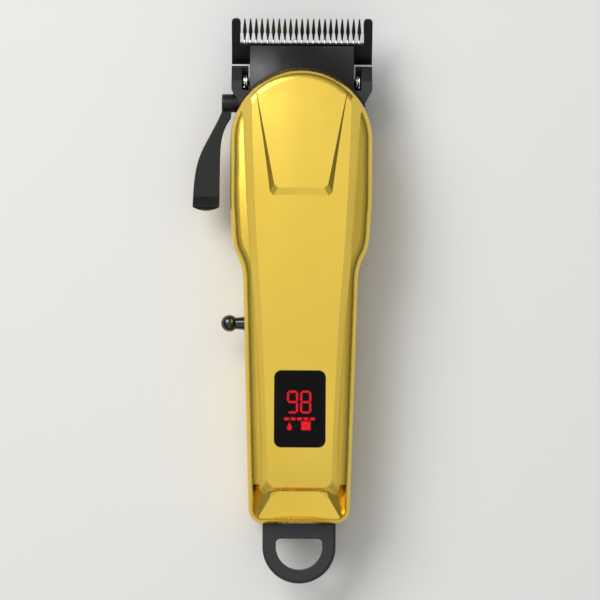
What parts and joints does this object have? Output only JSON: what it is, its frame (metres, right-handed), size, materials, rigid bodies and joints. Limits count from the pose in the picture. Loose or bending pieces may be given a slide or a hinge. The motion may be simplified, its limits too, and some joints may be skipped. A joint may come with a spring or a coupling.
{
  "type": "hair clipper",
  "caption": "Cordless hair clipper: gold metal body with raised panel and lit display, comb blade over a sliding cutter, side taper lever, toggle switch and hanging loop.",
  "frame": {"origin": "on the flat back, on the middle plane, at the body's waist", "axes": "+Z out of the display face, +Y towards the blade, +X to the side away from the lever; the clipper lies on its back at z = 0"},
  "size_m": [0.0602, 0.1895, 0.036],
  "materials": {
    "gold_metal": "satin gold plated",
    "black_plastic": "fine grain",
    "grey_metal": "satin",
    "white_plastic": "moulded",
    "smoked_glass": "polished",
    "black_gloss": "gloss",
    "board_green": "solder mask",
    "steel_zinc": "satin",
    "cell_wrap": "shrink wrap",
    "aluminium_plain": "satin",
    "copper_wound": "wound wire",
    "brass_cam": "machined",
    "black_blade": "satin black coating",
    "silver_blade": "ground",
    "bright_wire": "bright",
    "lever_black": "satin",
    "screw_black": "satin",
    "loop_plastic": "satin",
    "lead_black": "smooth",
    "lead_red": "smooth",
    "red_light": "lit"
  },
  "bodies": {
    "housing": {"upper_shell": "gold_metal", "lower_shell": "gold_metal", "nose_frame": "black_plastic", "nose_cover": "grey_metal", "inner_frame": "white_plastic", "display_window": "smoked_glass", "display_mask": "black_gloss", "display_light": "red_light", "display_board": "board_green", "board_screws": "steel_zinc", "battery_cell": "cell_wrap", "battery_tab_rear": "steel_zinc", "battery_tab_front": "steel_zinc", "motor_can": "steel_zinc", "motor_end_cap": "black_plastic", "motor_mount": "aluminium_plain", "motor_screws": "steel_zinc", "blade_spring": "bright_wire", "toggle_collar": "black_plastic", "switch_body": "black_plastic", "toggle_pin": "steel_zinc", "hanging_loop": "loop_plastic", "charge_socket": "black_plastic", "charge_board": "board_green", "case_screws": "screw_black", "battery_lead_rear": "lead_black", "battery_lead_front": "lead_red", "motor_lead_left": "lead_black", "motor_lead_right": "lead_red"},
    "motor_rotor": {"motor_shaft": "steel_zinc", "armature": "copper_wound", "eccentric_cam": "brass_cam", "cam_pin": "steel_zinc"},
    "comb": {"fixed_blade": "black_blade", "blade_carrier": "aluminium_plain", "blade_screws": "steel_zinc"},
    "cutter": {"moving_blade": "silver_blade", "cutter_base": "black_blade", "blade_follower": "white_plastic"},
    "lever": {"taper_lever": "lever_black", "lever_shaft": "steel_zinc", "lever_screw": "screw_black"},
    "toggle": {"power_toggle": "black_gloss"}
  },
  "joints": [
    {"name": "lever_hinge", "type": "hinge", "parent": "housing", "child": "lever", "pos_m": [-0.0238, 0.0662, 0.013], "axis": [-1, 0, 0], "range_deg": [0, 45]},
    {"name": "comb_slide", "type": "slide", "parent": "housing", "child": "comb", "axis": [0, 0.848, 0.5299], "range_m": [0, 0.00169]},
    {"name": "cutter_slide", "type": "slide", "parent": "housing", "child": "cutter", "axis": [1, 0, 0], "range_m": [-0.0011, 0.0011]},
    {"name": "motor_spin", "type": "hinge", "parent": "housing", "child": "motor_rotor", "pos_m": [0, 0.04, 0.017], "axis": [0, 1, 0], "continuous": true},
    {"name": "toggle_hinge", "type": "hinge", "parent": "housing", "child": "toggle", "pos_m": [-0.0146, -0.008, 0.014], "axis": [0, 1, 0], "range_deg": [-12, 12]}
  ],
  "couplings": [
    {"joint": "comb_slide", "follows": "lever_hinge", "m_per_rad": 0.0021439}
  ]
}
